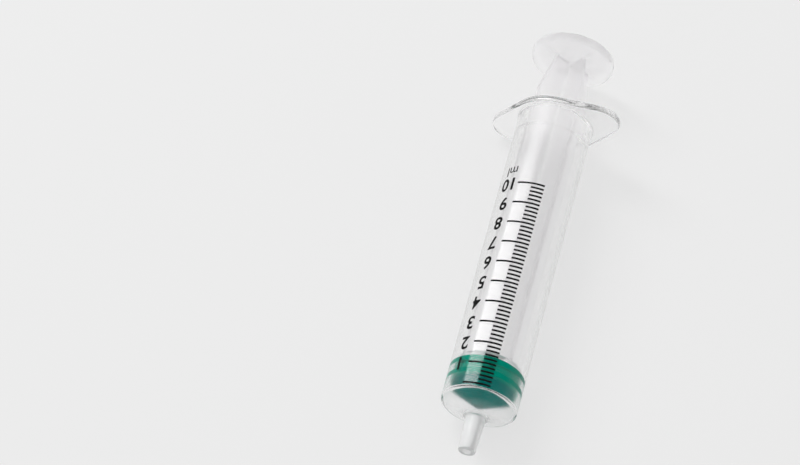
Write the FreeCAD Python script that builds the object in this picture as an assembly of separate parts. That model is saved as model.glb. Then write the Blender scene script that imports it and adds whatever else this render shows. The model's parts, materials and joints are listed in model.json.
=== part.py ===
import FreeCAD, Part
import math
import os

# Luer slip syringe, 10 ml, in millimetres.
#
# Each piece is drawn along the syringe's own axis first: x runs from the nozzle to the thumb rest, with
# x = 0 at the zero line of the scale, and angles around the axis start at +Y and turn towards +Z. The
# finished pieces are then laid down as the syringe rests on a table, on the rim of its end wall and on
# one straight side of its flange. The origin is the middle of the footprint, on the table, with +Z up.

# Barrel
bore_radius = 7.75
barrel_wall = 0.9
zero_to_flange = 74.7
bore_end_before_zero = 0.3
end_wall = 0.95
end_cone_outside = 24.0
end_cone_inside = 22.0
rim_rounding = 0.95
mouth_chamfer = 0.4
bead_from_flange = 4.1
bead_width = 2.4
bead_height = 0.2
bead_rounding = 2.0

# Luer slip nozzle, with the 6 % taper on its diameter that all such nozzles share
nozzle_tip_diameter = 3.96
nozzle_taper = 0.06
nozzle_length = 8.5
nozzle_bore_diameter = 2.0
nozzle_tip_rounding = 0.3
nozzle_root_rounding = 0.6

# Finger flange: a round middle drawn out into two rounded wings
flange_thickness = 1.5
flange_middle_radius = 10.2
flange_wing_radius = 5.4
flange_wing_reach = 16.0
flange_edge_rounding = 0.4
flange_root_rounding = 0.6

# Stopper
seal_clearance = 0.05
seal_ring_height = 0.35
seal_ring_width = 1.9
seal_ring_slope = 0.3
seal_ring_spacing = 3.0
seal_ring_rounding = 0.2
stopper_cone = 30.0
stopper_tip_radius = 1.0
stopper_tip_rounding = 0.6
home_clearance = 0.3
drawn_at_rest = 1.87
bead_clearance = 0.3

# Snap socket in the stopper and the head of the plunger rod that turns in it
socket_mouth_radius = 3.0
socket_radius = 4.3
socket_lip = 1.2
socket_depth = 3.3
socket_end_radius = 1.6
socket_taper_length = 1.2
neck_clearance = 0.06
head_clearance = 0.3
seat_clearance = 0.1
socket_rounding = 0.3

# Plunger rod
front_disc_clearance = 0.45
front_disc_thickness = 1.2
disc_rounding = 0.3
stem_clearance = 0.35
stem_thickness = 1.2
stem_corner_rounding = 0.6
stem_angle = 38.8
neck_start_from_flange = 6.8
stem_end_radius = 4.7
thumb_rest_from_flange = 17.7
thumb_rest_radius = 9.7
thumb_rest_thickness = 2.2
thumb_rest_rounding = 0.6

# Ridges across the back of the thumb rest
ridge_height = 0.35
ridge_foot = 0.8
ridge_crest = 0.4
ridge_pitch = 1.4
ridge_margin = 0.7

# Printed scale: a long line for each millilitre and short ones between them
scale_ml = 10
lines_per_ml = 5
line_width = 0.35
ink_height = 0.04
scale_angle = 105.0
short_line_angle = 20.0
long_line_angle = 42.5

# Points nearer than this are one point
same_place = 1e-6

# Worked out from the sizes above
barrel_radius = bore_radius + barrel_wall
mm_per_ml = 1000.0 / (math.pi * bore_radius ** 2)
outside_slope = math.tan(math.radians(end_cone_outside))
inside_slope = math.tan(math.radians(end_cone_inside))
stopper_slope = math.tan(math.radians(stopper_cone))
nozzle_tip_radius = nozzle_tip_diameter / 2
nozzle_root_radius = nozzle_tip_radius + nozzle_length * nozzle_taper / 2
nozzle_bore_radius = nozzle_bore_diameter / 2
rim_x = -bore_end_before_zero - end_wall
rim_centre_x = rim_x + rim_rounding * math.tan(math.radians(90.0 - end_cone_outside) / 2)
nozzle_root_x = rim_x - (barrel_radius - nozzle_root_radius) * outside_slope
nozzle_tip_x = nozzle_root_x - nozzle_length
nozzle_bore_x = -bore_end_before_zero - (bore_radius - nozzle_bore_radius) * inside_slope
flange_back_x = zero_to_flange + flange_thickness
bead_x = zero_to_flange - bead_from_flange

seal_radius = bore_radius - seal_clearance
stopper_radius = seal_radius - seal_ring_height
nose_length = (stopper_radius - stopper_tip_radius) * stopper_slope
wall_at_shoulder_x = -bore_end_before_zero - (bore_radius - stopper_radius) * inside_slope
wall_at_tip_x = -bore_end_before_zero - (bore_radius - stopper_tip_radius) * inside_slope
home_x = home_clearance + max(wall_at_shoulder_x, wall_at_tip_x + nose_length)
shoulder_x = home_x + drawn_at_rest
stopper_back_x = shoulder_x + seal_ring_spacing + seal_ring_width
push_limit = -drawn_at_rest
draw_limit = bead_x - bead_width / 2 - bead_clearance - stopper_back_x

front_disc_radius = bore_radius - bead_height - front_disc_clearance
stem_radius = bore_radius - bead_height - stem_clearance
rod_front_x = stopper_back_x + seat_clearance
stem_start_x = rod_front_x + front_disc_thickness
neck_start_x = zero_to_flange + neck_start_from_flange
thumb_rest_x = zero_to_flange + thumb_rest_from_flange
thumb_rest_back_x = thumb_rest_x + thumb_rest_thickness

wing_centre = flange_wing_reach - flange_wing_radius
side_angle = math.degrees(math.acos((flange_middle_radius - flange_wing_radius) / wing_centre))
flange_angle = side_angle - 90.0


def rounded_wire(corners, place):
    """Closed wire through the corners (a, b, radius), with a tangent arc of that radius at each one."""
    edges = []
    ends = []
    count = len(corners)
    for index, (a, b, radius) in enumerate(corners):
        corner = FreeCAD.Vector(a, b, 0)
        before = FreeCAD.Vector(*corners[index - 1][:2], 0) - corner
        after = FreeCAD.Vector(*corners[(index + 1) % count][:2], 0) - corner
        if radius == 0:
            ends.append((corner, corner, None))
            continue
        half = before.getAngle(after) / 2
        setback = radius / math.tan(half)
        start = corner + before.normalize() * setback
        end = corner + after.normalize() * setback
        towards = (before + after).normalize()
        middle = corner + towards * (radius / math.sin(half) - radius)
        ends.append((start, end, middle))
    for index, (start, end, middle) in enumerate(ends):
        if middle is not None:
            edges.append(Part.Arc(place(start), place(middle), place(end)).toShape())
        following = ends[(index + 1) % count][0]
        if (following - end).Length > same_place:
            edges.append(Part.LineSegment(place(end), place(following)).toShape())
    return Part.Wire(edges)


def turned(corners):
    """Solid turned about the axis from a closed profile of (x, radius, rounding) corners."""
    wire = rounded_wire(corners, lambda point: FreeCAD.Vector(point.x, 0, point.y))
    face = Part.Face(wire)
    return face.revolve(FreeCAD.Vector(0, 0, 0), FreeCAD.Vector(1, 0, 0), 360)


def across(corners, x, length):
    """Solid of constant section: a profile of (y, z, rounding) corners, drawn out along the axis from x."""
    wire = rounded_wire(corners, lambda point: FreeCAD.Vector(x, point.x, point.y))
    return Part.Face(wire).extrude(FreeCAD.Vector(length, 0, 0))


def turned_about_axis(shape, angle):
    """The shape turned by an angle about the syringe's axis."""
    return shape.rotated(FreeCAD.Vector(0, 0, 0), FreeCAD.Vector(1, 0, 0), angle)


def barrel_tube():
    """Tube, end wall and nozzle as one turned profile, with the bead inside the mouth."""
    hub_radius = barrel_radius + flange_root_rounding
    return turned([
        (nozzle_tip_x, nozzle_bore_radius, 0),
        (nozzle_tip_x, nozzle_tip_radius, nozzle_tip_rounding),
        (nozzle_root_x, nozzle_root_radius, nozzle_root_rounding),
        (rim_x, barrel_radius, rim_rounding),
        (zero_to_flange, barrel_radius, flange_root_rounding),
        (zero_to_flange, hub_radius, 0),
        (flange_back_x, hub_radius, 0),
        (flange_back_x, bore_radius + mouth_chamfer, 0),
        (flange_back_x - mouth_chamfer, bore_radius, 0),
        (bead_x + bead_width / 2, bore_radius, bead_rounding),
        (bead_x, bore_radius - bead_height, bead_rounding),
        (bead_x - bead_width / 2, bore_radius, bead_rounding),
        (-bore_end_before_zero, bore_radius, 0),
        (nozzle_bore_x, nozzle_bore_radius, 0),
    ])


def flange_outline():
    """Outline of the flange: arcs of the middle and of the two wings, joined by their tangents."""
    side = math.radians(side_angle)

    def on_arc(centre, radius, angle):
        return FreeCAD.Vector(zero_to_flange, centre + radius * math.cos(angle), radius * math.sin(angle))

    def arc(centre, radius, first, last):
        points = [on_arc(centre, radius, first + (last - first) * part) for part in (0, 0.5, 1)]
        return Part.Arc(*points).toShape()

    edges = [
        arc(wing_centre, flange_wing_radius, -side, side),
        arc(0, flange_middle_radius, side, math.pi - side),
        arc(-wing_centre, flange_wing_radius, math.pi - side, math.pi + side),
        arc(0, flange_middle_radius, math.pi + side, 2 * math.pi - side),
    ]
    ends = [(edge.firstVertex().Point, edge.lastVertex().Point) for edge in edges]
    lines = [Part.LineSegment(ends[i][1], ends[(i + 1) % 4][0]).toShape() for i in range(4)]
    ordered = [edge for pair in zip(edges, lines) for edge in pair]
    return Part.Wire(ordered)


def flange_plate():
    """Flat plate of the flange with rounded edges, and the barrel's bore through it."""
    plate = Part.Face(flange_outline()).extrude(FreeCAD.Vector(flange_thickness, 0, 0))
    rims = [edge for edge in plate.Edges if edge.BoundBox.XLength < same_place]
    plate = plate.makeFillet(flange_edge_rounding, rims)
    opening = Part.makeCylinder(
        barrel_radius, flange_thickness, FreeCAD.Vector(zero_to_flange, 0, 0), FreeCAD.Vector(1, 0, 0)
    )
    return turned_about_axis(plate.cut(opening), flange_angle)


def barrel():
    """The whole clear moulding."""
    return barrel_tube().fuse(flange_plate()).removeSplitter()


def stopper():
    """Rubber stopper: conical face, two sealing rings and the socket that snaps over the rod's head."""
    tip_x = shoulder_x - nose_length
    socket_front_x = stopper_back_x - socket_lip - socket_depth
    outline = [
        (tip_x, 0, 0),
        (tip_x, stopper_tip_radius, stopper_tip_rounding),
        (shoulder_x, stopper_radius, 0),
    ]
    for ring in range(2):
        front = shoulder_x + ring * seal_ring_spacing
        outline += [
            (front + seal_ring_slope, seal_radius, seal_ring_rounding),
            (front + seal_ring_width - seal_ring_slope, seal_radius, seal_ring_rounding),
            (front + seal_ring_width, stopper_radius, 0),
        ]
        if ring == 0:
            outline.append((front + seal_ring_spacing, stopper_radius, 0))
    outline += [
        (stopper_back_x, socket_mouth_radius, socket_rounding),
        (stopper_back_x - socket_lip, socket_mouth_radius, socket_rounding),
        (stopper_back_x - socket_lip, socket_radius, socket_rounding),
        (socket_front_x + socket_taper_length, socket_radius, socket_rounding),
        (socket_front_x, socket_end_radius, socket_rounding),
        (socket_front_x, 0, 0),
    ]
    return turned(outline)


def rod_head():
    """Front disc of the rod with the neck and the head that snap into the stopper."""
    neck_radius = socket_mouth_radius - neck_clearance
    head_radius = socket_radius - head_clearance
    head_back_x = stopper_back_x - socket_lip - head_clearance
    head_front_x = stopper_back_x - socket_lip - socket_depth + head_clearance
    return turned([
        (head_front_x, 0, 0),
        (head_front_x, socket_end_radius - head_clearance, socket_rounding),
        (head_front_x + socket_taper_length, head_radius, socket_rounding),
        (head_back_x, head_radius, socket_rounding),
        (head_back_x, neck_radius, 0),
        (rod_front_x, neck_radius, 0),
        (rod_front_x, front_disc_radius, disc_rounding),
        (stem_start_x, front_disc_radius, disc_rounding),
        (stem_start_x, 0, 0),
    ])


def rod_stem():
    """Cross-shaped stem, cut to the envelope that fits the bore and narrows towards the thumb rest."""
    half = stem_thickness / 2
    cross = [
        (half, half, stem_corner_rounding), (stem_radius, half, 0), (stem_radius, -half, 0),
        (half, -half, stem_corner_rounding), (half, -stem_radius, 0), (-half, -stem_radius, 0),
        (-half, -half, stem_corner_rounding), (-stem_radius, -half, 0), (-stem_radius, half, 0),
        (-half, half, stem_corner_rounding), (-half, stem_radius, 0), (half, stem_radius, 0),
    ]
    envelope = turned([
        (stem_start_x, 0, 0),
        (stem_start_x, stem_radius, 0),
        (neck_start_x, stem_radius, 0),
        (thumb_rest_x, stem_end_radius, 0),
        (thumb_rest_x, 0, 0),
    ])
    section = across(cross, stem_start_x, thumb_rest_x - stem_start_x)
    return turned_about_axis(section.common(envelope), stem_angle)


def thumb_rest():
    """Round thumb rest with straight ridges across its back."""
    disc = turned([
        (thumb_rest_x, 0, 0),
        (thumb_rest_x, thumb_rest_radius, thumb_rest_rounding),
        (thumb_rest_back_x, thumb_rest_radius, thumb_rest_rounding),
        (thumb_rest_back_x, 0, 0),
    ])
    reach = thumb_rest_radius - thumb_rest_rounding - ridge_margin
    each_side = int((reach - ridge_foot / 2) / ridge_pitch)
    for step in range(-each_side, each_side + 1):
        offset = step * ridge_pitch
        half_length = math.sqrt(reach ** 2 - (abs(offset) + ridge_foot / 2) ** 2)
        disc = disc.fuse(ridge(offset, half_length))
    return turned_about_axis(disc.removeSplitter(), stem_angle)


def ridge(offset, half_length):
    """One ridge: a low trapezium across the thumb rest, at an offset from its middle."""
    back = thumb_rest_back_x
    section = [
        (back, offset - ridge_foot / 2), (back + ridge_height, offset - ridge_crest / 2),
        (back + ridge_height, offset + ridge_crest / 2), (back, offset + ridge_foot / 2),
    ]
    points = [FreeCAD.Vector(x, y, -half_length) for x, y in section]
    face = Part.Face(Part.makePolygon(points + points[:1]))
    return face.extrude(FreeCAD.Vector(0, 0, 2 * half_length))


def plunger_rod():
    """The whole milky moulding."""
    return rod_head().fuse([rod_stem(), thumb_rest()]).removeSplitter()


def scale_line(x, sweep):
    """One printed line: a thin raised bar that runs part of the way round the barrel."""
    bar = Part.Face(Part.makePolygon([
        FreeCAD.Vector(x - line_width / 2, barrel_radius, 0),
        FreeCAD.Vector(x + line_width / 2, barrel_radius, 0),
        FreeCAD.Vector(x + line_width / 2, barrel_radius + ink_height, 0),
        FreeCAD.Vector(x - line_width / 2, barrel_radius + ink_height, 0),
        FreeCAD.Vector(x - line_width / 2, barrel_radius, 0),
    ]))
    swept = bar.revolve(FreeCAD.Vector(0, 0, 0), FreeCAD.Vector(1, 0, 0), sweep)
    return turned_about_axis(swept, scale_angle - sweep)


def scale_print():
    """All the lines of the scale, from 0 to its last millilitre."""
    lines = []
    for step in range(scale_ml * lines_per_ml + 1):
        sweep = long_line_angle if step % lines_per_ml == 0 else short_line_angle
        lines.append(scale_line(step * mm_per_ml / lines_per_ml, sweep))
    return Part.makeCompound(lines)


def resting_angle():
    """Angle by which the axis rises from the nozzle to the flange when the syringe lies on a table."""
    run = (zero_to_flange + flange_edge_rounding) - rim_centre_x
    rise = (flange_middle_radius - flange_edge_rounding) - (barrel_radius - rim_rounding)
    lift = flange_edge_rounding - rim_rounding
    return math.atan2(rise, run) + math.asin(lift / math.hypot(run, rise))


def laid_down(pieces):
    """Placement that lays the pieces on the table, with the origin in the middle of their footprint."""
    turn = FreeCAD.Rotation(FreeCAD.Vector(0, 1, 0), -math.degrees(resting_angle()))
    tilted = Part.makeCompound(pieces)
    tilted.Placement = FreeCAD.Placement(FreeCAD.Vector(0, 0, 0), turn)
    box = tilted.optimalBoundingBox(False)
    shift = FreeCAD.Vector(-(box.XMin + box.XMax) / 2, -(box.YMin + box.YMax) / 2, -box.ZMin)
    return FreeCAD.Placement(shift, turn)


parts = {
    "barrel": barrel(),
    "stopper": stopper(),
    "plunger_rod": plunger_rod(),
    "scale_print": scale_print(),
}
resting_place = laid_down(list(parts.values()))

os.makedirs("parts", exist_ok=True)
for name, shape in parts.items():
    shape.Placement = resting_place
    shape.exportStep("parts/" + name + ".step")
    print(name, "solids", len(shape.Solids), "volume", round(shape.Volume, 2), "valid", shape.isValid())
# Where the joints and the places that other things meet have come to, in the finished frame
on_axis = {
    "nozzle_tip": nozzle_tip_x,
    "nozzle_root": nozzle_root_x,
    "rim": rim_x,
    "zero_line": 0,
    "stopper_back": stopper_back_x,
    "flange_front": zero_to_flange,
    "thumb_rest_back": thumb_rest_back_x + ridge_height,
}
print("axis rises by", round(math.degrees(resting_angle()), 4), "degrees")
print("stopper slides from", round(push_limit, 4), "to", round(draw_limit, 4), "mm")
for name, x in on_axis.items():
    place = resting_place.multVec(FreeCAD.Vector(x, 0, 0))
    print(name, round(place.x, 4), round(place.y, 4), round(place.z, 4))
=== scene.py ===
# %% [markdown]
# # A 10 ml luer slip syringe
# A disposable syringe lies on a pale table, on one straight side of its finger flange. Three mouldings
# make it: a clear barrel, a green rubber stopper and a milky plunger rod. The construction model already
# has every size, so this file gives the mouldings smooth walls that bend light, prints the scale, lights
# the table and sets up the camera.

# %% Load the model
import json

import bmesh
import bpy
import numpy as np
from mathutils import Euler, Matrix


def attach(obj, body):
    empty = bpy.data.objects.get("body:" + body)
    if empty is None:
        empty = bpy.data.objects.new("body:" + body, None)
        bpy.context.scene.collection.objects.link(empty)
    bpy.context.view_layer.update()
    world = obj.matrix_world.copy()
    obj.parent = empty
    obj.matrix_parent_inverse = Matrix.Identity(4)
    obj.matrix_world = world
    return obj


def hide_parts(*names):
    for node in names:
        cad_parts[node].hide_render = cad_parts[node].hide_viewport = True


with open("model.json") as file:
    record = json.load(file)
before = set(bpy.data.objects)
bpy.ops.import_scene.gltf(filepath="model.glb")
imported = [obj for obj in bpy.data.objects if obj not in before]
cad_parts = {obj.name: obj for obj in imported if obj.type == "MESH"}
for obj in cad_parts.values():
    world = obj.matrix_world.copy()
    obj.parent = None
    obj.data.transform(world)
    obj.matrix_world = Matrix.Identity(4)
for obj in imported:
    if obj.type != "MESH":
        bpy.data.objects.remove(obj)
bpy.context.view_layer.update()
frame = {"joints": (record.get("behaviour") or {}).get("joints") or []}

# %% [markdown]
# ## The syringe's own axis
# The flange is wider than the barrel, so the syringe lies a little nose-down and no part of it is square
# to the table. Every shape is simpler when it is drawn about its own axis, with x along it from the zero
# line and in millimetres. The joint that the plunger turns on gives both the axis and a point on it, the
# back of the stopper, so nothing has to be measured here.

# %% The frame of the axis
MILLIMETRE = 0.001
STOPPER_BACK = 7.7089
twist = next(joint for joint in frame["joints"] if joint["name"] == "plunger_twist")
along = np.array(twist["axis"], float) / np.linalg.norm(twist["axis"])
sideways = np.array([0.0, 1.0, 0.0])
upwards = np.cross(along, sideways)
axes = np.array([along, sideways, upwards])
zero_point = np.array(twist["pos_m"], float) - STOPPER_BACK * MILLIMETRE * along


def placed(points):
    """Points (x, y, z) about the axis, in millimetres, moved to the model's frame in metres."""
    return zero_point + np.asarray(points, float) * MILLIMETRE @ axes


print("axis rises by", round(float(np.degrees(np.arcsin(along[2]))), 3), "degrees; zero line at", zero_point)

# %% [markdown]
# ## The camera
# The camera looks down on the nozzle end from far away with a long lens, so that near and far ends have
# almost the same scale. Its place and turn are given about the syringe's axis and carried into the model's
# frame with it, which keeps the picture the same however the syringe comes to lie.

# %% Camera
CAMERA_PLACE = (-370.09, -74.87, 702.17)
CAMERA_TURN = (30.9395, 0.0017, -75.8908)
CAMERA_LENS = 162.363
NEAREST_SEEN = 0.01
camera = bpy.data.objects.new("camera", bpy.data.cameras.new("camera"))
camera.data.lens = CAMERA_LENS
camera.data.clip_start = NEAREST_SEEN
turn = np.array(Euler(np.radians(CAMERA_TURN)).to_matrix())
camera.matrix_world = Matrix.Translation(placed(CAMERA_PLACE)) @ Matrix((axes.T @ turn).tolist()).to_4x4()
bpy.context.scene.collection.objects.link(camera)
bpy.context.scene.camera = camera
print("camera at", tuple(camera.location))

# %% [markdown]
# ## Smooth walls
# Clear plastic shows every fault of a mesh, because light bends at it twice. A mesh made of flat triangles
# would break the reflections up, so each moulding is worked out here as rings of points: a profile with
# rounded corners is carried round the axis, and neighbouring rings are joined by quads.
#
# The profile comes first. No real moulding has a sharp corner, and a bevel added afterwards can't know
# which radius belongs to which corner, so the radius is part of the list of corners. Next to each rounded
# corner there is a point on the straight run, which keeps the run's shading flat right up to it.

# %% Rounded profiles
GUARD = 0.04


def rounded(corners, steps=6):
    """Open profile through corners (x, radius, rounding): a tangent arc at each, and points beside its ends.

    The arc of radius r at a corner of half angle h starts r / tan(h) from it on both sides. Its centre is
    on the bisector, r / sin(h) from the corner, and the arc's points turn evenly about that centre.
    """
    corners = [np.array(corner, float) for corner in corners]
    points = [corners[0][:2]]
    for before, corner, after in zip(corners, corners[1:], corners[2:]):
        back = before[:2] - corner[:2]
        ahead = after[:2] - corner[:2]
        back /= np.linalg.norm(back)
        ahead /= np.linalg.norm(ahead)
        half = np.arccos(np.clip(back @ ahead, -1, 1)) / 2
        radius = corner[2]
        reach = radius / np.tan(half)
        bisector = (back + ahead) / np.linalg.norm(back + ahead)
        centre = corner[:2] + bisector * radius / np.sin(half)
        start = corner[:2] + back * reach - centre
        end = corner[:2] + ahead * reach - centre
        part = np.linspace(0, 1, steps)[:, None]
        span = np.arccos(np.clip(start @ end / radius ** 2, -1, 1))
        arc = centre + (np.sin((1 - part) * span) * start + np.sin(part * span) * end) / np.sin(span)
        guards = corner[:2] + back * (reach + GUARD), corner[:2] + ahead * (reach + GUARD)
        points += [guards[0], *arc, guards[1]]
    points.append(corners[-1][:2])
    return np.array(points)


print("one rounded corner between two ends takes", len(rounded([(0, 0, 0), (2, 0, 1), (2, 2, 0)])), "points")

# %% [markdown]
# Turning a profile about the axis could be left to a Screw modifier. Doing it here gives whole arrays, and
# the rings of a turned part can then be mixed with rings that aren't round.

# %% Rings round the axis
AROUND = 240
ring_angles = np.linspace(0, 2 * np.pi, AROUND, endpoint=False)


def rings_of(profile, angles=ring_angles):
    """Rings for a profile turned about the axis: (x, r cos a, r sin a) for every point and every angle."""
    x = np.repeat(profile[:, :1], len(angles), axis=1)
    radius = profile[:, 1:2]
    return np.stack([x, radius * np.cos(angles), radius * np.sin(angles)], axis=-1)


print("a full ring has", AROUND, "points")

# %% [markdown]
# Every finished piece is a mesh whose object stands at the origin, with its place in its points, and it
# rides on one body of the model, so that it moves when that body does.

# %% A piece of the syringe


def piece_from(name, points, faces, body):
    """A smooth mesh object at the origin, made of points in metres and faces, that rides on a body."""
    mesh = bpy.data.meshes.new(name)
    mesh.from_pydata(points.tolist(), [], faces)
    mesh.validate()
    mesh.shade_smooth()
    piece = bpy.data.objects.new(name, mesh)
    bpy.context.scene.collection.objects.link(piece)
    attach(piece, body)
    print(name, len(points), "points,", len(faces), "faces")
    return piece


# %% [markdown]
# A moulding is one closed skin. Quads join each ring to the next one, and the skin is closed at the axis by
# a fan of triangles, or, where the part is hollow all through, by joining the last ring to the first.

# %% A moulding from rings


def moulding(name, rings, body, joined=False):
    """A closed mesh from rings: quads between neighbours, and a pole at each end unless the ends are joined.

    The faces are turned over if the volume comes out negative. The volume is a sixth of the sum, over all
    triangles with corners a, b and c, of a . (b x c), so only the sum's sign is needed.
    """
    count, around = rings.shape[:2]
    ring = np.arange(around)
    after = (ring + 1) % around
    rows = np.arange(count if joined else count - 1)[:, None]
    following = (rows + 1) % count
    quads = np.stack([rows * around + ring, rows * around + after,
                      following * around + after, following * around + ring], axis=-1).reshape(-1, 4)
    points = rings.reshape(-1, 3)
    faces = quads.tolist()
    triangles = [quads[:, [0, 1, 2]], quads[:, [0, 2, 3]]]
    if not joined:
        first, last = len(points), len(points) + 1
        points = np.vstack([points, rings[0].mean(axis=0), rings[-1].mean(axis=0)])
        top = (count - 1) * around
        poles = [np.stack([np.full(around, first), after, ring], axis=-1),
                 np.stack([np.full(around, last), top + ring, top + after], axis=-1)]
        triangles += poles
        faces += np.concatenate(poles).tolist()
    corners = points[np.concatenate(triangles)]
    if np.einsum("ij,ij", corners[:, 0], np.cross(corners[:, 1], corners[:, 2])) < 0:
        faces = [face[::-1] for face in faces]
    return piece_from(name, placed(points), faces, body)


print("faces are turned outwards by the sign of the volume")

# %% [markdown]
# ## Barrel
# The barrel is one clear moulding: luer nozzle, conical end wall, tube and finger flange, with the bore
# running through. It could be a tube, a cone and a plate pushed into each other, but then light would meet
# hidden walls inside the plastic, so all of it is one skin. Places are distances from the zero line along
# the axis, and widths are radii.

# %% Barrel sizes
BORE, OUTSIDE = 7.75, 8.65
TIP_RADIUS, ROOT_RADIUS, CHANNEL = 1.98, 2.235, 1.0
TIP, ROOT, RIM = -12.6061, -4.1061, -1.25
CHANNEL_END, BORE_END = -3.0272, -0.3
FLANGE_FRONT, FLANGE_BACK = 74.7, 76.2
print("bore", 2 * BORE, "mm, tube", 2 * OUTSIDE, "mm, from nozzle to flange", FLANGE_BACK - TIP, "mm")

# %% [markdown]
# ### Flange
# The finger flange is a round middle with a wing on each side, joined by straight lines that touch both
# circles. It could be cut from a plate, but a cut leaves a hard edge. A turned profile would give the
# whole barrel but the flange, so the rings stop being round there: each ring follows the outline at a
# given inset from its edge, and the last rings curl over the edge.

# %% Flange outline
MIDDLE, WING, WING_CENTRE = 10.2, 5.4, 10.6
side = np.arccos((MIDDLE - WING) / WING_CENTRE)
FLANGE_TURN = side - np.pi / 2


def flange_ring(x, inset):
    """Ring on the flange: its outline, moved in by inset, as points at even polar angles.

    Inside the tangent's angle the outline is the middle's circle. Between the two tangent points it is
    the straight line at the middle's radius, radius / cos(angle - side). Beyond them it is the wing's
    circle, d cos(angle) + sqrt(wing^2 - d^2 sin^2(angle)). An inset makes both circles smaller alike.
    """
    angle = np.abs((ring_angles - FLANGE_TURN + np.pi) % (2 * np.pi) - np.pi)
    angle = np.minimum(angle, np.pi - angle)
    middle, wing = MIDDLE - inset, WING - inset
    tangent = np.arctan2(wing * np.sin(side), WING_CENTRE + wing * np.cos(side))
    line = middle / np.cos(np.minimum(angle - side, 0))
    half_chord = np.sqrt(np.maximum(wing ** 2 - (WING_CENTRE * np.sin(angle)) ** 2, 0))
    tip = WING_CENTRE * np.cos(angle) + half_chord
    radius = np.where(angle > side, middle, np.where(angle > tangent, line, tip))
    return np.stack([np.full(AROUND, x), radius * np.cos(ring_angles), radius * np.sin(ring_angles)], axis=-1)


print("the flange is", 2 * (WING_CENTRE + WING), "mm long and turned", np.degrees(FLANGE_TURN), "degrees")

# %% Flange rings
FLANGE_EDGE, FLANGE_EDGE_STEPS = 0.4, 7
edge_turn = np.linspace(0, np.pi / 2, FLANGE_EDGE_STEPS)
edge_curve = list(zip(FLANGE_EDGE * (1 - np.cos(edge_turn)), FLANGE_EDGE * (1 - np.sin(edge_turn))))
front_edge = [flange_ring(FLANGE_FRONT + depth, inset) for depth, inset in edge_curve]
back_edge = [flange_ring(FLANGE_BACK - depth, inset) for depth, inset in edge_curve[::-1]]
front_guard, back_guard = [flange_ring(x, FLANGE_EDGE + GUARD) for x in (FLANGE_FRONT, FLANGE_BACK)]
flange = np.array([front_guard, *front_edge, *back_edge, back_guard])
print("the flange takes", len(flange), "rings")

# %% [markdown]
# ### The one skin
# The outside runs from the nozzle's tip to the front of the flange, the flange's own rings carry it round
# the edge, and the inside runs from the mouth back to the tip. In the mouth there is a low bead that keeps
# the stopper from being pulled out by accident. The last ring is joined to the first, at the tip.

# %% Barrel mesh
CHANNEL_LIP, TIP_ROUNDING, ROOT_ROUNDING = 0.1, 0.3, 0.6
RIM_ROUNDING, FLANGE_ROUNDING, FLANGE_RUN = 0.95, 0.59, 1.0
MOUTH_RUN, MOUTH_CHAMFER = 1.2, 0.4
EDGE_ROUNDING, BORE_ROUNDING = 0.1, 0.15
BEAD, BEAD_REACH, BEAD_HEIGHT, BEAD_ROUNDING = 70.6, 1.2, 0.2, 2.0
outside = rounded([
    (TIP, CHANNEL + CHANNEL_LIP, 0), (TIP, TIP_RADIUS, TIP_ROUNDING), (ROOT, ROOT_RADIUS, ROOT_ROUNDING),
    (RIM, OUTSIDE, RIM_ROUNDING), (FLANGE_FRONT, OUTSIDE, FLANGE_ROUNDING),
    (FLANGE_FRONT, OUTSIDE + FLANGE_RUN, 0),
], steps=8)
inside = rounded([
    (FLANGE_BACK, BORE + MOUTH_RUN, 0), (FLANGE_BACK, BORE + MOUTH_CHAMFER, EDGE_ROUNDING),
    (FLANGE_BACK - MOUTH_CHAMFER, BORE, BORE_ROUNDING), (BEAD + BEAD_REACH, BORE, BEAD_ROUNDING / 2),
    (BEAD, BORE - BEAD_HEIGHT, BEAD_ROUNDING), (BEAD - BEAD_REACH, BORE, BEAD_ROUNDING / 2),
    (BORE_END, BORE, BORE_ROUNDING), (CHANNEL_END, CHANNEL, EDGE_ROUNDING), (TIP + CHANNEL_LIP, CHANNEL, 0),
])
barrel_rings = np.concatenate([rings_of(outside), flange, rings_of(inside)])
barrel = moulding("barrel_moulding", barrel_rings, "barrel", joined=True)
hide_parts("barrel")

# %% [markdown]
# ## Stopper
# The stopper is soft green rubber: a conical face that matches the end wall, two sealing rings that press
# on the bore, and a snap socket at the back for the rod's head. It is fully turned, so one profile makes
# it. The rings are drawn two thousandths of a millimetre into the wall. Where rubber touches clear plastic
# with no air between them, its colour shows right out to the barrel's edge, and where there is air, the
# wall acts as a mirror. Any gap would lose the two green bands with a clear valley between them.

# %% Stopper mesh
SEAL, VALLEY = 7.752, 7.35
NOSE, NOSE_FLAT, NOSE_ROUNDING = -0.8573, 1.0, 0.6
SHOULDER, RING_PITCH = 2.8089, 3.0
RING_SLOPE, RING_WIDTH, RING_ROUNDING = 0.3, 1.3, 0.2
SOCKET_MOUTH, SOCKET_WIDE, SOCKET_FLOOR, SOCKET_ROUNDING = 3.0, 4.3, 1.6, 0.3
SOCKET_LIP, SOCKET_TAPER, SOCKET_DEPTH = 1.2, 3.3, 4.5
ring_form = [(0, VALLEY), (RING_SLOPE, SEAL), (RING_SLOPE + RING_WIDTH, SEAL),
             (2 * RING_SLOPE + RING_WIDTH, VALLEY)]
ring_corners = [(SHOULDER + start + x, radius, RING_ROUNDING)
                for start in (0, RING_PITCH) for x, radius in ring_form]
socket_corners = [(STOPPER_BACK - depth, radius, SOCKET_ROUNDING) for depth, radius in (
    (0, SOCKET_MOUTH), (SOCKET_LIP, SOCKET_MOUTH), (SOCKET_LIP, SOCKET_WIDE),
    (SOCKET_TAPER, SOCKET_WIDE), (SOCKET_DEPTH, SOCKET_FLOOR))]
stopper_profile = rounded([
    (NOSE, 0, 0), (NOSE, NOSE_FLAT, NOSE_ROUNDING), *ring_corners[:-1], (STOPPER_BACK, VALLEY, EDGE_ROUNDING),
    *socket_corners, (STOPPER_BACK - SOCKET_DEPTH, 0, 0),
])[1:-1]
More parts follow.
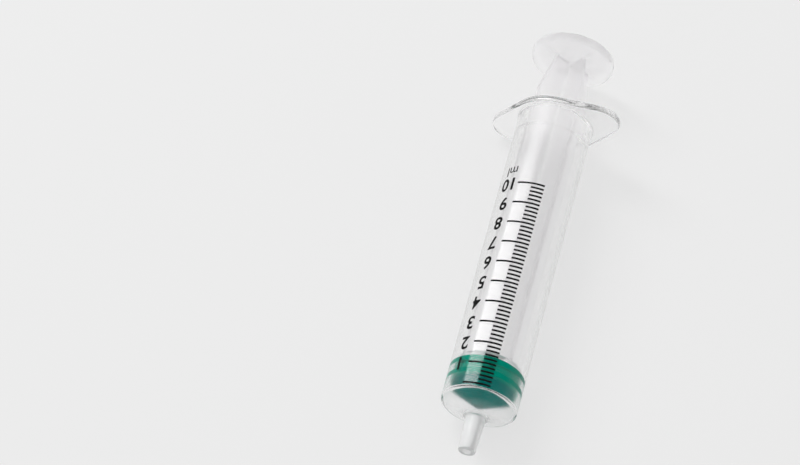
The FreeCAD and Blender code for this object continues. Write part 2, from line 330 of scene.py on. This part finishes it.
stopper = moulding("stopper_moulding", rings_of(stopper_profile), "stopper")
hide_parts("stopper")

# %% [markdown]
# ## Plunger rod
# The rod is one milky moulding: a snap head, a front disc, a cross-shaped stem and a round thumb rest. Two
# crossed boards and two discs would give the same outline, but light would meet their hidden walls. To
# keep it one skin, the rings of the discs use the same polar angles as the outline of the cross, so that a
# ring of the stem can be joined to a ring of a disc point by point.

# %% Outline of the cross
STEM_TURN = np.radians(38.8)
STEM, STEM_END = 7.2, 4.7
HALF_RIB, RIB_ROUNDING, CORNER_ROUNDING = 0.6, 0.35, 0.6
TIP_STEPS, BEND_STEPS, RUN_STEPS = 5, 7, 9


def cross_outline(reach):
    """One turn of the cross with ribs of a given reach, as points (y, z): a quarter, turned four times.

    A quarter is a rounded rib tip, a straight run and half of the hollow bend between two ribs, and then
    the same points mirrored by exchanging y and z.
    """
    tip = np.linspace(0, np.pi / 2, TIP_STEPS)
    corner = np.linspace(0, np.pi / 2, BEND_STEPS)
    upper = np.stack([reach - RIB_ROUNDING + RIB_ROUNDING * np.cos(tip),
                      HALF_RIB - RIB_ROUNDING + RIB_ROUNDING * np.sin(tip)], axis=-1)
    inner = HALF_RIB + CORNER_ROUNDING
    bend = inner - CORNER_ROUNDING * np.stack([np.sin(corner), np.cos(corner)], axis=-1)
    run = upper[-1] + (bend[0] - upper[-1]) * np.linspace(0, 1, RUN_STEPS)[1:-1, None]
    half_quarter = np.concatenate([upper, run, bend[:(BEND_STEPS + 1) // 2]])
    mirrored = half_quarter[::-1][1:, ::-1]
    quarter = np.concatenate([half_quarter, mirrored])
    turns = [quarter @ np.array([[np.cos(t), np.sin(t)], [-np.sin(t), np.cos(t)]])
             for t in STEM_TURN + np.arange(4) * np.pi / 2]
    return np.concatenate(turns)


def stem_ring(x, reach):
    """Ring of the stem at x: the outline of the cross with ribs of that reach."""
    outline = cross_outline(reach)
    return np.concatenate([np.full((len(outline), 1), x), outline], axis=1)


stem_angles = np.arctan2(*cross_outline(STEM)[:, ::-1].T)
print("the cross has", len(stem_angles), "points round it")

# %% [markdown]
# ### Head, stem and thumb rest
# The head is a cone with a neck behind it, which snaps into the stopper and can turn there. The ribs are
# as wide as the bore allows inside the barrel and taper outside it down to the thumb rest.

# %% Head and thumb rest
DISC_GAP, DISC_THICKNESS, THUMB_THICKNESS = 0.1, 1.2, 2.2
ROD_FRONT = STOPPER_BACK + DISC_GAP
STEM_START = ROD_FRONT + DISC_THICKNESS
NECK_START, THUMB_REST = 81.5, 92.4
THUMB_BACK = THUMB_REST + THUMB_THICKNESS
HEAD_TIP, HEAD_SHOULDER, HEAD_BACK = 4.2, 3.0, 1.5
HEAD_NOSE, HEAD_WIDE, HEAD_NECK, HEAD_ROUNDING = 1.3, 4.0, 2.94, 0.3
DISC, DISC_RUN = 7.1, 6.0
THUMB, THUMB_RUN, THUMB_ROUNDING = 9.7, 5.5, 0.6
head = rounded([
    (STOPPER_BACK - HEAD_TIP, 0, 0), (STOPPER_BACK - HEAD_TIP, HEAD_NOSE, HEAD_ROUNDING),
    (STOPPER_BACK - HEAD_SHOULDER, HEAD_WIDE, HEAD_ROUNDING),
    (STOPPER_BACK - HEAD_BACK, HEAD_WIDE, HEAD_ROUNDING), (STOPPER_BACK - HEAD_BACK, HEAD_NECK, EDGE_ROUNDING),
    (ROD_FRONT, HEAD_NECK, EDGE_ROUNDING),
    (ROD_FRONT, DISC, HEAD_ROUNDING), (STEM_START, DISC, HEAD_ROUNDING), (STEM_START, DISC_RUN, 0),
])[1:-1]
thumb = rounded([
    (THUMB_REST, THUMB_RUN, 0), (THUMB_REST, THUMB, THUMB_ROUNDING),
    (THUMB_BACK, THUMB, THUMB_ROUNDING), (THUMB_BACK, 0, 0),
], steps=9)[1:-1]
print("the head has", len(head), "rings and the thumb rest", len(thumb))

# %% Plunger rod mesh
BY_THE_DISC, CLEAR_OF_DISC, BEFORE_NECK = 2, 4, 1
stations = np.concatenate([
    np.linspace(STEM_START, STEM_START + BY_THE_DISC, 3),
    np.linspace(STEM_START + CLEAR_OF_DISC, NECK_START - BEFORE_NECK, 20),
    np.linspace(NECK_START, THUMB_REST, 16),
])
reaches = np.interp(stations, [NECK_START, THUMB_REST], [STEM, STEM_END])
stem = np.array([stem_ring(x, reach) for x, reach in zip(stations, reaches)])
rod_rings = np.concatenate([rings_of(head, stem_angles), stem, rings_of(thumb, stem_angles)])
rod = moulding("rod_moulding", rod_rings, "plunger_rod")
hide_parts("plunger_rod")

# %% [markdown]
# ## Ridges of the thumb rest
# Straight ridges across the back of the thumb rest keep the thumb from slipping. They are part of the same
# moulding, but a straight bar can't follow rings that turn about the axis, so they are low bars of their
# own, sunk a little into the disc. Every bar has the same eight-point form, and its length comes from the
# circle that the ridges stop at.

# %% Ridge sizes
RIDGE_HEIGHT, RIDGE_SINK = 0.35, 0.1
RIDGE_FOOT, RIDGE_CREST, RIDGE_PITCH = 0.8, 0.4, 1.4
RIDGE_CIRCLE = 8.4
each_side = int((RIDGE_CIRCLE - RIDGE_FOOT / 2) / RIDGE_PITCH)
offsets = np.arange(-each_side, each_side + 1) * RIDGE_PITCH
half_lengths = np.sqrt(RIDGE_CIRCLE ** 2 - (np.abs(offsets) + RIDGE_FOOT / 2) ** 2)
print(len(offsets), "ridges, the longest", 2 * half_lengths.max(), "mm")

# %% Ridge mesh
low, high = THUMB_BACK - RIDGE_SINK, THUMB_BACK + RIDGE_HEIGHT
foot, crest = RIDGE_FOOT / 2, RIDGE_CREST / 2
bar = np.array([(low, -foot), (high, -crest), (high, crest), (low, foot)])
ends = np.array([-1, 1])[None, :, None] * half_lengths[:, None, None] * np.ones(len(bar))
lifted = np.broadcast_to(bar[:, 0], ends.shape)
shifted = offsets[:, None, None] + np.broadcast_to(bar[:, 1], ends.shape)
turned_y = shifted * np.cos(STEM_TURN) - ends * np.sin(STEM_TURN)
turned_z = shifted * np.sin(STEM_TURN) + ends * np.cos(STEM_TURN)
bar_points = np.stack([lifted, turned_y, turned_z], axis=-1).reshape(-1, 3)
bar_faces = np.array([(7, 6, 5, 4), (0, 1, 2, 3), (0, 4, 7, 3), (3, 7, 6, 2), (2, 6, 5, 1), (1, 5, 4, 0)])
all_faces = (bar_faces + 2 * len(bar) * np.arange(len(offsets))[:, None, None]).reshape(-1, 4)
ridges = piece_from("thumb_rest_ridges", placed(bar_points), all_faces.tolist(), "plunger_rod")
ridges.data.shade_flat()

# %% [markdown]
# ## Printed scale
# The scale is black ink, far thinner than anything else here. It could be a picture wrapped round the
# tube, but a picture blurs when the camera comes near. Each line is a strip bent round the barrel instead,
# with a small real height so that it stays a closed solid, and just off the wall so that no two faces
# share a place. One millilitre is as long as a bore of this width needs to hold it.

# %% Scale sizes
ONE_ML = 1000 / (np.pi * BORE ** 2)
CAPACITY, LINES_PER_ML = 10, 5
# The lines are wider than the printed ink alone. Part of that width is painted shadow: it stands for the
# shadow each line casts on the green rubber behind the wall.
LINE_WIDTH = 0.45
INK, INK_GAP = 0.03, 0.002
SCALE_EDGE, SHORT_SWEEP, LONG_SWEEP = 105.0, 20.0, 42.5
line_numbers = np.arange(CAPACITY * LINES_PER_ML + 1)
sweeps = np.where(line_numbers % LINES_PER_ML == 0, LONG_SWEEP, SHORT_SWEEP)
print("one millilitre is", ONE_ML, "mm long;", len(line_numbers), "lines")

# %% Scale lines
LINE_STEPS = 17
turns = np.radians(SCALE_EDGE - sweeps[:, None] * np.linspace(0, 1, LINE_STEPS))
section = np.array([(-1, 0), (1, 0), (1, 1), (-1, 1)]) * [LINE_WIDTH / 2, INK]
x = line_numbers[:, None, None] * ONE_ML / LINES_PER_ML + section[:, 0]
radius = OUTSIDE + INK_GAP + section[:, 1]
strips = np.stack(np.broadcast_arrays(
    x, radius * np.cos(turns)[:, :, None], radius * np.sin(turns)[:, :, None]), axis=-1)
corners = len(section)
base = np.arange(LINE_STEPS - 1)[:, None] * corners
following = base + corners
side_faces = np.stack([following + [0, 1, 2, 3], following + [1, 2, 3, 0],
                       base + [1, 2, 3, 0], base + [0, 1, 2, 3]], axis=-1).reshape(-1, 4)
end_faces = np.array([[3, 2, 1, 0], [0, 1, 2, 3]]) + [[0], [corners * (LINE_STEPS - 1)]]
one_line = np.concatenate([side_faces, end_faces])
all_lines = (one_line + corners * LINE_STEPS * line_numbers[:, None, None]).reshape(-1, 4)
scale_lines = piece_from("scale_lines", placed(strips.reshape(-1, 3)), all_lines.tolist(), "barrel")
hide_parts("scale_print")

# %% [markdown]
# ## Printed numerals
# The numerals read with the nozzle up, to the right of the lines. Blender's own letters make them: each is
# turned into a mesh while it is flat, and its points are then rolled onto the barrel, a distance across
# becoming an angle round the axis. A flat letter has long faces, so it is cut into narrow slices first,
# and each slice can then follow the round wall.

# %% Flat figures
DIGIT_SHARE = 0.7
CURVE_STEPS = 5
SLICE, SEAM = 0.4, 0.0001


def flat_figure(name, text, height, stroke):
    """A mesh of a text that lies flat, in millimetres, as thick as the ink and cut into slices across."""
    curve = bpy.data.curves.new(name, "FONT")
    curve.body = text
    curve.size = height / DIGIT_SHARE
    curve.align_x = "CENTER"
    curve.align_y = "CENTER"
    curve.offset = stroke
    curve.extrude = INK / 2
    curve.resolution_u = CURVE_STEPS
    holder = bpy.data.objects.new(name + "_flat", curve)
    bpy.context.scene.collection.objects.link(holder)
    flat = bpy.data.meshes.new_from_object(holder.evaluated_get(bpy.context.evaluated_depsgraph_get()))
    bpy.data.objects.remove(holder)
    sliced = bmesh.new()
    sliced.from_mesh(flat)
    bmesh.ops.remove_doubles(sliced, verts=sliced.verts, dist=SEAM)
    left, right = min(v.co.x for v in sliced.verts), max(v.co.x for v in sliced.verts)
    for place in np.arange(left, right, SLICE)[1:]:
        everything = [*sliced.verts, *sliced.edges, *sliced.faces]
        bmesh.ops.bisect_plane(sliced, geom=everything, plane_co=(place, 0, 0), plane_no=(1, 0, 0))
    bmesh.ops.recalc_face_normals(sliced, faces=sliced.faces)
    sliced.to_mesh(flat)
    sliced.free()
    flat.name = name
    return flat


print("figures are", INK, "mm thick and cut every", SLICE, "mm")

# %% Figures rolled onto the barrel
NUMERAL_ANGLE = 46.0
NUMERAL_HEIGHT, NUMERAL_STROKE = 3.2, 0.1
UNIT_HEIGHT, UNIT_BEYOND = 2.4, 3.6


def print_on_barrel(name, text, x, height, stroke):
    """Text rolled onto the barrel: its width becomes an angle, and its height runs towards the nozzle.

    A point (a, b, c) of the flat text goes to the angle NUMERAL_ANGLE - a / OUTSIDE, to the place x - b
    along the axis, and to the middle of the ink's thickness plus c.
    """
    figure = flat_figure(name, text, height, stroke)
    points = np.zeros(len(figure.vertices) * 3)
    figure.vertices.foreach_get("co", points)
    points = points.reshape(-1, 3)
    turned = np.radians(NUMERAL_ANGLE) - points[:, 0] / OUTSIDE
    radius = OUTSIDE + INK_GAP + INK / 2 + points[:, 2]
    rolled = placed(np.stack([x - points[:, 1], radius * np.cos(turned), radius * np.sin(turned)], axis=-1))
    figure.vertices.foreach_set("co", rolled.ravel())
    figure.update()
    piece = bpy.data.objects.new(name, figure)
    bpy.context.scene.collection.objects.link(piece)
    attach(piece, "barrel")
    return piece


numerals = [print_on_barrel(f"numeral_{n}", str(n), n * ONE_ML, NUMERAL_HEIGHT, NUMERAL_STROKE)
            for n in range(1, CAPACITY + 1)]
numerals.append(print_on_barrel("unit_ml", "ml", CAPACITY * ONE_ML + UNIT_BEYOND, UNIT_HEIGHT, 0.0))
print(len(numerals), "printed figures")

# %% [markdown]
# ## Materials
# The barrel is clear with a trace of haze, the rod is milky and lets light through without showing what
# is behind it, the rubber is opaque and dull, and the ink is flat. All four could be a plain shader with
# numbers, but a faint unevenness of gloss and surface, worked out from the object's own coordinates, keeps
# each from looking like a computer's perfect plastic.

# %% A finish with a faint grain
GRAIN_DETAIL, GRAIN_DEPTH = 3, 0.0002


def finish_of(name, colour, roughness, spread, bump, grain, **sockets):
    """A material whose roughness wanders by spread and whose surface has a faint grain of that scale.

    One noise n, from 0 to 1 over the object's coordinates, makes the roughness roughness - spread plus
    2 n spread, and lifts the surface by bump times n times GRAIN_DEPTH metres.
    """
    material = bpy.data.materials.new(name)
    material.use_nodes = True
    nodes, links = material.node_tree.nodes, material.node_tree.links
    shader = nodes["Principled BSDF"]
    shader.inputs["Base Color"].default_value = (*colour, 1)
    for socket, value in sockets.items():
        shader.inputs[socket].default_value = value
    where = nodes.new("ShaderNodeTexCoord")
    noise = nodes.new("ShaderNodeTexNoise")
    noise.inputs["Scale"].default_value = grain
    noise.inputs["Detail"].default_value = GRAIN_DETAIL
    links.new(where.outputs["Object"], noise.inputs["Vector"])
    spreader = nodes.new("ShaderNodeMapRange")
    spreader.inputs["To Min"].default_value = roughness - spread
    spreader.inputs["To Max"].default_value = roughness + spread
    links.new(noise.outputs["Fac"], spreader.inputs["Value"])
    links.new(spreader.outputs["Result"], shader.inputs["Roughness"])
    bumper = nodes.new("ShaderNodeBump")
    bumper.inputs["Strength"].default_value = bump
    bumper.inputs["Distance"].default_value = GRAIN_DEPTH
    links.new(noise.outputs["Fac"], bumper.inputs["Height"])
    links.new(bumper.outputs["Normal"], shader.inputs["Normal"])
    print("finish", name, "with roughness", roughness)
    return material


# %% [markdown]
# Two things change along the syringe. The barrel's plastic turns milky at the nozzle. The rubber's face is
# painted darker than its rings, a painted shade for the cone that leans away from the wall into less light.
# A second material on part of the mesh would show a hard border, so one value fades in along the axis instead.

# %% A ramp along the syringe


def along_axis(nodes, links, first, last, low, high):
    """A value that goes from low to high between two places along the syringe, from the object's own x."""
    where = nodes.new("ShaderNodeTexCoord")
    along_x = nodes.new("ShaderNodeSeparateXYZ")
    links.new(where.outputs["Object"], along_x.inputs[0])
    ramp = nodes.new("ShaderNodeMapRange")
    ramp.inputs["From Min"].default_value = placed([first, 0, 0])[0]
    ramp.inputs["From Max"].default_value = placed([last, 0, 0])[0]
    ramp.inputs["To Min"].default_value = low
    ramp.inputs["To Max"].default_value = high
    links.new(along_x.outputs["X"], ramp.inputs["Value"])
    return ramp.outputs["Result"]


print("the zero line is at x =", placed([0, 0, 0])[0], "m")

# %% [markdown]
# ### Clear plastic
# The barrel is transmission with the true refraction of the material, a little rough so that the softbox's
# mirror image has soft edges. Its mirror images are toned down, or each of the four surfaces that are seen
# one behind the other would add a veil of its own. The nozzle is moulded with a mat surface for grip, so
# haze and milkiness fade in there.

# %% Clear plastic and its nozzle
CLEAR = (1.0, 1.0, 1.0)
TONED_MIRROR = (0.3, 0.3, 0.3, 1)
NOZZLE_HAZE, HAZE_FADES = 0.3, (ROOT + 0.2, ROOT + 1.2)
NOZZLE_CLEARNESS, MILK_FADES = 0.66, (ROOT - 0.5, ROOT + 1.8)
clear_plastic = finish_of(
    "clear_plastic", CLEAR, roughness=0.14, spread=0.02, bump=0.004, grain=260,
    **{"Transmission Weight": 1.0, "IOR": 1.49, "Specular Tint": TONED_MIRROR},
)
nodes, links = clear_plastic.node_tree.nodes, clear_plastic.node_tree.links
clear_shader = nodes["Principled BSDF"]
wandering = clear_shader.inputs["Roughness"].links[0].from_socket
rougher = nodes.new("ShaderNodeMath")
rougher.operation = "MAXIMUM"
links.new(wandering, rougher.inputs[0])
links.new(along_axis(nodes, links, *HAZE_FADES, NOZZLE_HAZE, 0.0), rougher.inputs[1])
links.new(rougher.outputs[0], clear_shader.inputs["Roughness"])
nozzle_milk = along_axis(nodes, links, *MILK_FADES, NOZZLE_CLEARNESS, 1.0)
links.new(nozzle_milk, clear_shader.inputs["Transmission Weight"])
print("the nozzle's roughness is at least", NOZZLE_HAZE)

# %% [markdown]
# ### Milky plastic
# The rod's plastic scatters light on its way through, which a plain surface shader can't do. A volume or
# subsurface light would be truer, but slow and noisy behind two clear walls. A rough surface that bends
# light only a little looks soft and pale and almost melts into the table, as thin milky plastic does.

# %% Milky plastic
MILK = (1.0, 0.995, 1.0)
milky_plastic = finish_of(
    "milky_plastic", MILK, roughness=0.42, spread=0.05, bump=0.01, grain=900,
    **{"Transmission Weight": 0.99, "IOR": 1.15, "Specular Tint": TONED_MIRROR},
)

# %% [markdown]
# ### Green rubber
# Rubber that is wet or pressed against plastic has no shine of its own, so its specular level is zero and
# all its gloss comes from the wall in front of it.

# %% Green rubber
# The darker green of the conical face is painted shade. The real stopper is one green, and its face only gets
# less light.
SHADED_NOSE_GREEN = (0.0, 0.2, 0.175, 1)
RING_GREEN = (0.0, 0.3, 0.21, 1)
NOSE_SHADE_FADES = (SHOULDER - 0.3, SHOULDER)
green_rubber = finish_of(
    "green_rubber", RING_GREEN[:3], roughness=0.5, spread=0.05, bump=0.1, grain=1200,
    **{"IOR": 1.5, "Specular IOR Level": 0.0},
)
nodes, links = green_rubber.node_tree.nodes, green_rubber.node_tree.links
# Painted shade: the face's shaded green fades into the rings' green just before the shoulder.
nose_shade_mix = nodes.new("ShaderNodeMix")
nose_shade_mix.data_type = "RGBA"
nose_shade_mix.inputs["A"].default_value = SHADED_NOSE_GREEN
nose_shade_mix.inputs["B"].default_value = RING_GREEN
links.new(along_axis(nodes, links, *NOSE_SHADE_FADES, 0.0, 1.0), nose_shade_mix.inputs["Factor"])
links.new(nose_shade_mix.outputs["Result"], nodes["Principled BSDF"].inputs["Base Color"])
print("the face's green is", SHADED_NOSE_GREEN[:3], "and the rings' is", RING_GREEN[:3])

# %% [markdown]
# ### Ink, and a finish for every piece
# Printing ink is thin, black and almost without gloss, so it is the plainest of the four. Any slot that a
# letter brings along from the text it was made of is cleared before the ink goes on.

# %% Ink and all pieces
BLACK = (0.003, 0.003, 0.003)
black_ink = finish_of(
    "black_ink", BLACK, roughness=0.7, spread=0.1, bump=0.1, grain=3000,
    **{"Specular IOR Level": 0.1},
)
barrel.data.materials.append(clear_plastic)
rod.data.materials.append(milky_plastic)
ridges.data.materials.append(milky_plastic)
stopper.data.materials.append(green_rubber)
printed = [scale_lines, *numerals]
for figure in printed:
    figure.data.materials.clear()
    figure.data.materials.append(black_ink)
print("ink is on", len(printed), "printed pieces")

# %% [markdown]
# ## Table
# The table is plain and pale. More light on it would bleach the object too, so most of its grey is shown
# as light of its own, but only to rays that the eye follows, straight on, mirrored or through the plastic.
# The softbox and the surround light the object, and the rest of the grey keeps the object's shadow.

# %% Rays that the eye follows


def seen_ray(nodes, links):
    """1 for camera, mirror and see-through rays and 0 for the rays that light things: the largest of three."""
    path = nodes.new("ShaderNodeLightPath")
    either, any_of_three = nodes.new("ShaderNodeMath"), nodes.new("ShaderNodeMath")
    either.operation = any_of_three.operation = "MAXIMUM"
    links.new(path.outputs["Is Camera Ray"], either.inputs[0])
    links.new(path.outputs["Is Transmission Ray"], either.inputs[1])
    links.new(either.outputs[0], any_of_three.inputs[0])
    links.new(path.outputs["Is Glossy Ray"], any_of_three.inputs[1])
    return any_of_three.outputs[0]


print("the table's own light is seen by camera, see-through and mirror rays")

# %% Table mesh
TABLE_REACH = 3
table_mesh = bpy.data.meshes.new("table")
table_corners = [(x * TABLE_REACH, y * TABLE_REACH, 0) for x, y in ((-1, -1), (1, -1), (1, 1), (-1, 1))]
table_mesh.from_pydata(table_corners, [], [(0, 1, 2, 3)])
table = bpy.data.objects.new("table", table_mesh)
bpy.context.scene.collection.objects.link(table)
print("the table reaches", TABLE_REACH, "m each way")

# %% Table finish
TABLE_COLOUR, TABLE_GLOW = 0.8, 0.86
TABLE_ROUGHNESS, TABLE_GLOSS = 0.9, 0.1
table_grey = (TABLE_COLOUR, TABLE_COLOUR, TABLE_COLOUR, 1)
table_finish = bpy.data.materials.new("table")
table_finish.use_nodes = True
table_finish.cycles.emission_sampling = "NONE"
nodes, links = table_finish.node_tree.nodes, table_finish.node_tree.links
table_shader = nodes["Principled BSDF"]
table_shader.inputs["Base Color"].default_value = table_grey
table_shader.inputs["Roughness"].default_value = TABLE_ROUGHNESS
table_shader.inputs["Specular IOR Level"].default_value = TABLE_GLOSS
glow = nodes.new("ShaderNodeEmission")
glow.inputs["Color"].default_value = table_grey
share = nodes.new("ShaderNodeMath")
share.operation = "MULTIPLY"
share.inputs[1].default_value = TABLE_GLOW
links.new(seen_ray(nodes, links), share.inputs[0])
blend = nodes.new("ShaderNodeMixShader")
links.new(share.outputs[0], blend.inputs["Fac"])
links.new(table_shader.outputs[0], blend.inputs[1])
links.new(glow.outputs[0], blend.inputs[2])
links.new(blend.outputs[0], nodes["Material Output"].inputs["Surface"])
table_mesh.materials.append(table_finish)
print("the table's grey is", TABLE_COLOUR, "and its glow", TABLE_GLOW)

# %% [markdown]
# ## Light
# One long softbox hangs to the upper left. Its mirror image is the white stripe down the barrel, so its
# width makes the stripe's width, and its length is turned to lie along the syringe. It is moved a little
# towards the nozzle, so that the stripe crosses the green and fades before the flange.

# %% Softbox
SOFTBOX_WAY = np.array([0.507, 0.531, 0.679])
SOFTBOX_DISTANCE, SOFTBOX_SHIFT = 1.0, -0.12
SOFTBOX_SIZE = (0.28, 0.66)
SOFTBOX_POWER = 9.2
softbox = bpy.data.objects.new("softbox", bpy.data.lights.new("softbox", "AREA"))
softbox.data.shape = "RECTANGLE"
softbox.data.size, softbox.data.size_y = SOFTBOX_SIZE
softbox.data.energy = SOFTBOX_POWER
back = SOFTBOX_WAY / np.linalg.norm(SOFTBOX_WAY)
across = along - back * (along @ back)
across /= np.linalg.norm(across)
rise = np.cross(back, across)
softbox.matrix_world = (Matrix.Translation(back * SOFTBOX_DISTANCE + across * SOFTBOX_SHIFT)
                        @ Matrix(np.array([across, rise, back]).T.tolist()).to_4x4())
bpy.context.scene.collection.objects.link(softbox)
print("softbox of", SOFTBOX_POWER, "W at", tuple(softbox.location))

# %% [markdown]
# ## The surround
# Clear plastic is made of what is seen through it and of what it mirrors, and a studio gives it a different
# thing for each. A pale ceiling behind it would veil the green rubber with a white mirror image, so the
# mirrored ceiling is dark. Light that passes through the plastic meets the same pale grey as the table, and
# the clear walls all but vanish. Towards the horizon both fade to the table's grey.

# %% Surround
ROOM_LIGHT, CEILING, MIRRORED_CEILING = 0.7, 0.95, 0.06
HORIZON_ENDS, CEILING_STARTS = 0.1, 0.45
world = bpy.data.worlds.new("surround")
bpy.context.scene.world = world
world.use_nodes = True
world.cycles.sampling_method = "NONE"
nodes, links = world.node_tree.nodes, world.node_tree.links
room = nodes["Background"]
room.inputs["Color"].default_value = (1, 1, 1, 1)
way = nodes.new("ShaderNodeTexCoord")
height = nodes.new("ShaderNodeSeparateXYZ")
links.new(way.outputs["Generated"], height.inputs[0])
path = nodes.new("ShaderNodeLightPath")


def seen_by(ray, overhead):
    """A mix: its input A for other rays, and for one kind of ray the table's grey, rising to overhead."""
    ceiling = nodes.new("ShaderNodeMapRange")
    ceiling.inputs["From Min"].default_value = HORIZON_ENDS
    ceiling.inputs["From Max"].default_value = CEILING_STARTS
    ceiling.inputs["To Min"].default_value = TABLE_COLOUR
    ceiling.inputs["To Max"].default_value = overhead
    links.new(height.outputs["Z"], ceiling.inputs["Value"])
    level = nodes.new("ShaderNodeMix")
    links.new(path.outputs[ray], level.inputs["Factor"])
    links.new(ceiling.outputs["Result"], level.inputs["B"])
    return level


mirrored = seen_by("Is Glossy Ray", MIRRORED_CEILING)
mirrored.inputs["A"].default_value = ROOM_LIGHT
passed_through = seen_by("Is Transmission Ray", CEILING)
links.new(mirrored.outputs["Result"], passed_through.inputs["A"])
links.new(passed_through.outputs["Result"], room.inputs["Strength"])
print("room light", ROOM_LIGHT, "ceiling", CEILING, "mirrored ceiling", MIRRORED_CEILING)

# %% [markdown]
# ### How far light is followed
# Light crosses eight or more walls on its way through barrel and rod, and a path that is cut short turns
# black, so many bounces are allowed. Rare paths that reach the softbox after several bounces are far
# brighter than the rest and leave white scribbles over the green, so what one such path may add is limited.

# %% Bounces and view
LIGHT_BOUNCES, STRAY_LIGHT_LIMIT = 32, 2.3
scene = bpy.context.scene
scene.view_settings.view_transform = "Standard"
scene.cycles.max_bounces = LIGHT_BOUNCES
scene.cycles.transmission_bounces = LIGHT_BOUNCES
scene.cycles.glossy_bounces = LIGHT_BOUNCES
scene.cycles.sample_clamp_indirect = STRAY_LIGHT_LIMIT
print("light is followed over", LIGHT_BOUNCES, "bounces")
